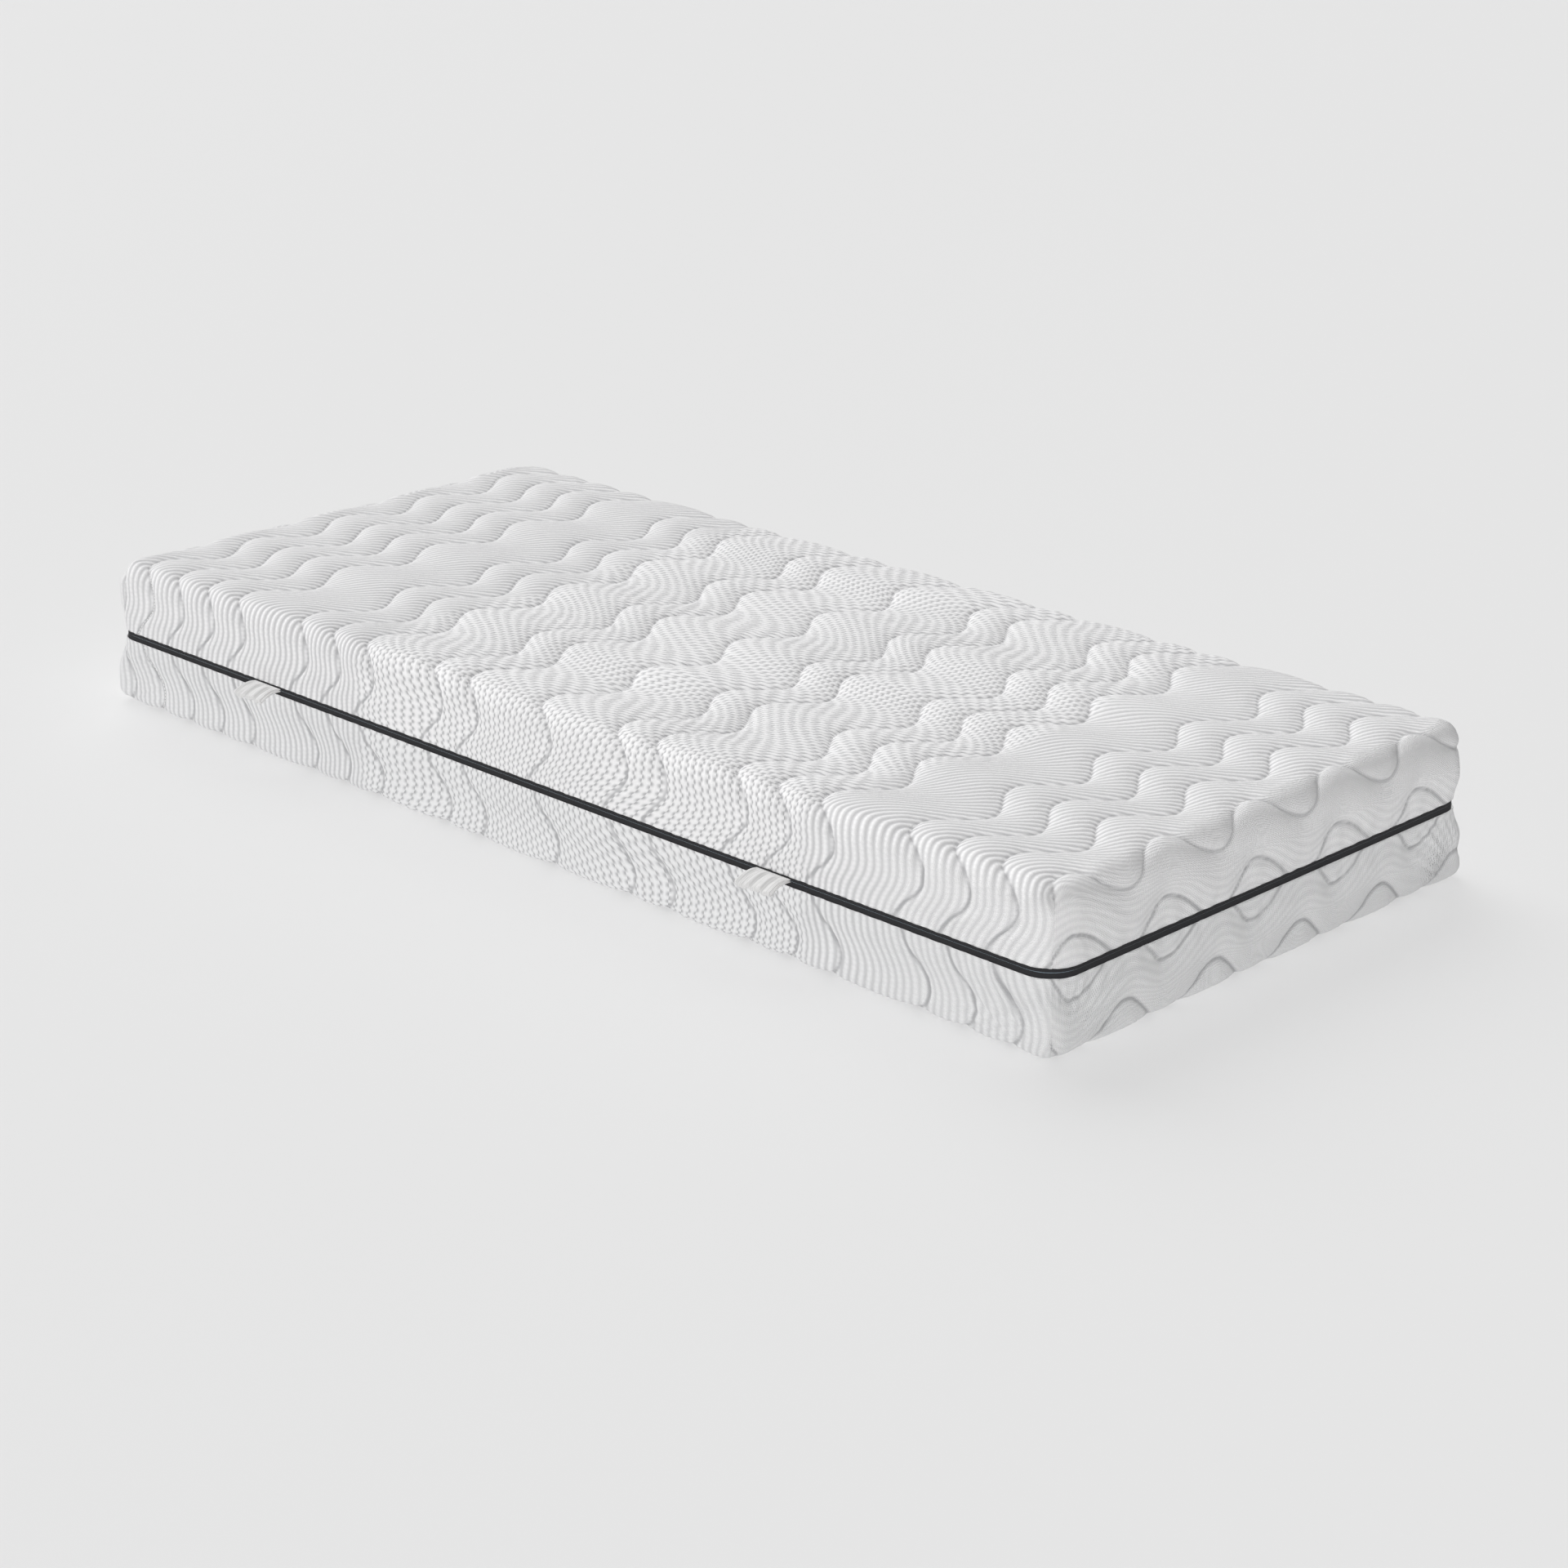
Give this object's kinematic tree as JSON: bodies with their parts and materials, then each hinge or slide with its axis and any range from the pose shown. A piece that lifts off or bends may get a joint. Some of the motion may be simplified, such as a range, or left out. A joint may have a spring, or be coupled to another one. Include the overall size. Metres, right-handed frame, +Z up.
{
  "type": "memory foam mattress",
  "caption": "Single memory foam mattress: layered foam core in a wave-quilted knit cover whose halves zip together all round, with carrying loops.",
  "frame": {"origin": "centre of the underside of the mattress", "axes": "+X from the head end to the foot end, +Y across the width, +Z up"},
  "size_m": [2, 0.972, 0.235],
  "materials": {
    "knit_upper": "soft double-jersey knit, matte",
    "knit_lower": "soft double-jersey knit, matte",
    "wadding": "loose polyester wadding",
    "backing": "thin non-woven fleece",
    "zip_tape": "woven tape, matte",
    "zip_coil": "satin nylon coil",
    "zip_metal": "satin dark lacquer",
    "webbing": "soft knitted loop fabric",
    "label": "smooth woven label, blank",
    "memory_foam": "open-cell viscoelastic foam",
    "glue": "thin dried glue film",
    "support_foam": "open-cell support foam"
  },
  "bodies": {
    "lower_cover": {"lower_knit": "knit_lower", "lower_wadding": "wadding", "lower_backing": "backing", "zip_tape_lower": "zip_tape", "zip_coil_lower": "zip_coil", "zip_stops_lower": "zip_metal"},
    "core": {"support_foam": "support_foam", "glue_layer": "glue", "memory_foam": "memory_foam"},
    "upper_cover": {"upper_knit": "knit_upper", "upper_wadding": "wadding", "upper_backing": "backing", "zip_tape_upper": "zip_tape", "zip_coil_upper": "zip_coil", "zip_stops_upper": "zip_metal"},
    "slider": {"zip_slider": "zip_metal"},
    "pull": {"zip_pull": "zip_metal"},
    "loop_front_head": {"handle_front_head": "webbing"},
    "loop_front_foot": {"handle_front_foot": "webbing"},
    "loop_back_head": {"handle_back_head": "webbing"},
    "loop_back_foot": {"handle_back_foot": "webbing"},
    "label": {"care_label": "label"}
  },
  "joints": [
    {"name": "core_lift", "type": "slide", "parent": "lower_cover", "child": "core", "axis": [0, 0, 1], "range_m": [0, 0.2]},
    {"name": "cover_lift", "type": "slide", "parent": "core", "child": "upper_cover", "axis": [0, 0, 1], "range_m": [0, 0.2]},
    {"name": "zip_slide", "type": "slide", "parent": "lower_cover", "child": "slider", "axis": [0, -1, 0], "range_m": [0, 0.62]},
    {"name": "zip_pull_swing", "type": "hinge", "parent": "slider", "child": "pull", "pos_m": [-0.9948, 0.3, 0.1175], "axis": [0, 0, 1], "range_deg": [-170, 0]},
    {"name": "loop_front_head_swing", "type": "hinge", "parent": "upper_cover", "child": "loop_front_head", "pos_m": [-0.584, -0.4467, 0.122], "axis": [-1, 0, 0], "range_deg": [-50, 75], "stiffness_Nm_per_rad": 0.05},
    {"name": "loop_front_foot_swing", "type": "hinge", "parent": "upper_cover", "child": "loop_front_foot", "pos_m": [0.511, -0.4467, 0.122], "axis": [-1, 0, 0], "range_deg": [-50, 75], "stiffness_Nm_per_rad": 0.05},
    {"name": "loop_back_head_swing", "type": "hinge", "parent": "upper_cover", "child": "loop_back_head", "pos_m": [-0.584, 0.4467, 0.122], "axis": [1, 0, 0], "range_deg": [-50, 75], "stiffness_Nm_per_rad": 0.05},
    {"name": "loop_back_foot_swing", "type": "hinge", "parent": "upper_cover", "child": "loop_back_foot", "pos_m": [0.511, 0.4467, 0.122], "axis": [1, 0, 0], "range_deg": [-50, 75], "stiffness_Nm_per_rad": 0.05},
    {"name": "label_flap", "type": "hinge", "parent": "upper_cover", "child": "label", "pos_m": [-0.9954, 0.365, 0.12], "axis": [0, 1, 0], "range_deg": [0, 90]}
  ]
}
